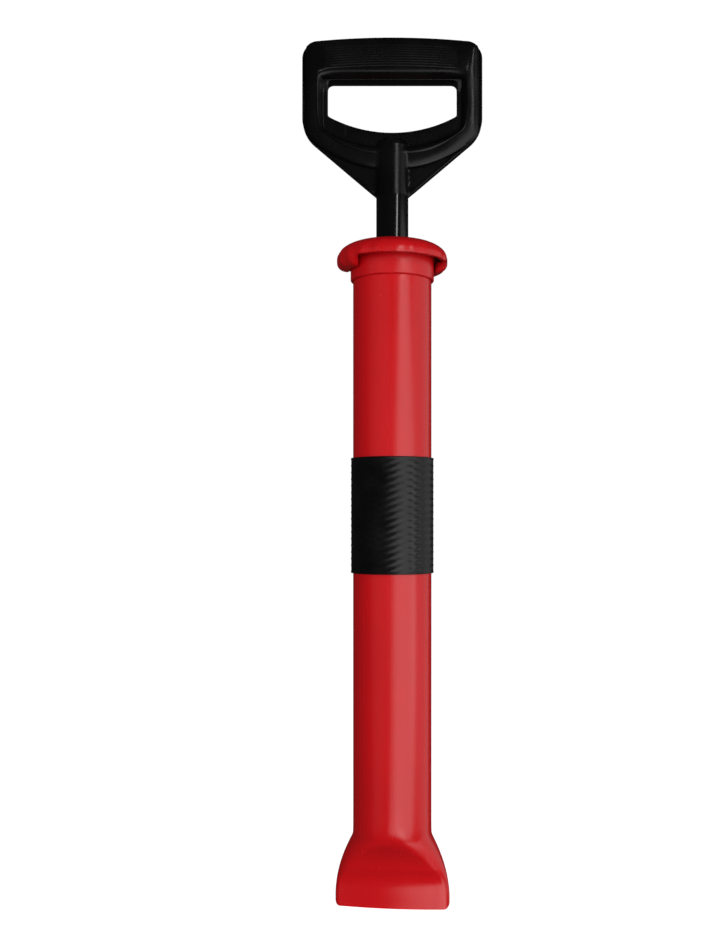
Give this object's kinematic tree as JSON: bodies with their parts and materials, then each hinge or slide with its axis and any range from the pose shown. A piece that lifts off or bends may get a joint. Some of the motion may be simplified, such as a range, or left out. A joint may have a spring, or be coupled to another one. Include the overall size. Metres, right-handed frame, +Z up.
{
  "type": "hand mortar pump",
  "caption": "Hand pump with a straight plastic tube, a sliding plunger with a D grip, a screw cap, a ribbed rubber sleeve and a flattened wide mouth.",
  "frame": {"origin": "on the tube's axis at the lower edge of the flattened mouth", "axes": "+Z up the tube to the grip, X along the mouth's long side"},
  "size_m": [0.1442, 0.089, 0.6962],
  "materials": {
    "red_pvc": "satin extruded red plastic",
    "black_polypropylene": "satin moulded black plastic",
    "black_rubber": "matte black rubber",
    "white_acetal": "turned off-white plastic",
    "zinc_steel": "zinc plated"
  },
  "bodies": {
    "tube": {"barrel": "red_pvc", "neck_collar": "red_pvc", "grip_sleeve": "black_rubber"},
    "gland": {"cap_gasket": "black_rubber", "wiper_washer": "zinc_steel", "rod_wiper": "black_rubber", "rod_bush": "white_acetal"},
    "cap": {"screw_cap": "red_pvc"},
    "seal_pack": {"lower_cup_seal": "black_rubber", "seal_spacer": "white_acetal", "upper_cup_seal": "black_rubber"},
    "plunger": {"d_grip": "black_polypropylene", "handle_screw": "zinc_steel", "rod_tube": "black_polypropylene", "plug_pin": "zinc_steel", "rod_end_plug": "black_polypropylene", "stop_ring": "black_rubber", "piston_bolt": "zinc_steel", "bolt_washer": "zinc_steel", "lower_disc": "black_polypropylene", "upper_disc": "black_polypropylene", "lock_nut": "zinc_steel"}
  },
  "joints": [
    {"name": "plunger_slide", "type": "slide", "parent": "tube", "child": "seal_pack", "axis": [0, 0, 1], "range_m": [0, 0.4]},
    {"name": "grip_turn", "type": "hinge", "parent": "seal_pack", "child": "plunger", "pos_m": [0, 0, 0.57], "axis": [0, 0, 1], "continuous": true},
    {"name": "cap_rise", "type": "slide", "parent": "tube", "child": "gland", "axis": [0, 0, 1], "range_m": [0, 0.01]},
    {"name": "cap_turn", "type": "hinge", "parent": "gland", "child": "cap", "pos_m": [0, 0, 0.52], "axis": [0, 0, 1], "range_deg": [0, 720]}
  ],
  "couplings": [
    {"joint": "cap_rise", "follows": "cap_turn", "m_per_rad": 0.00079577}
  ]
}
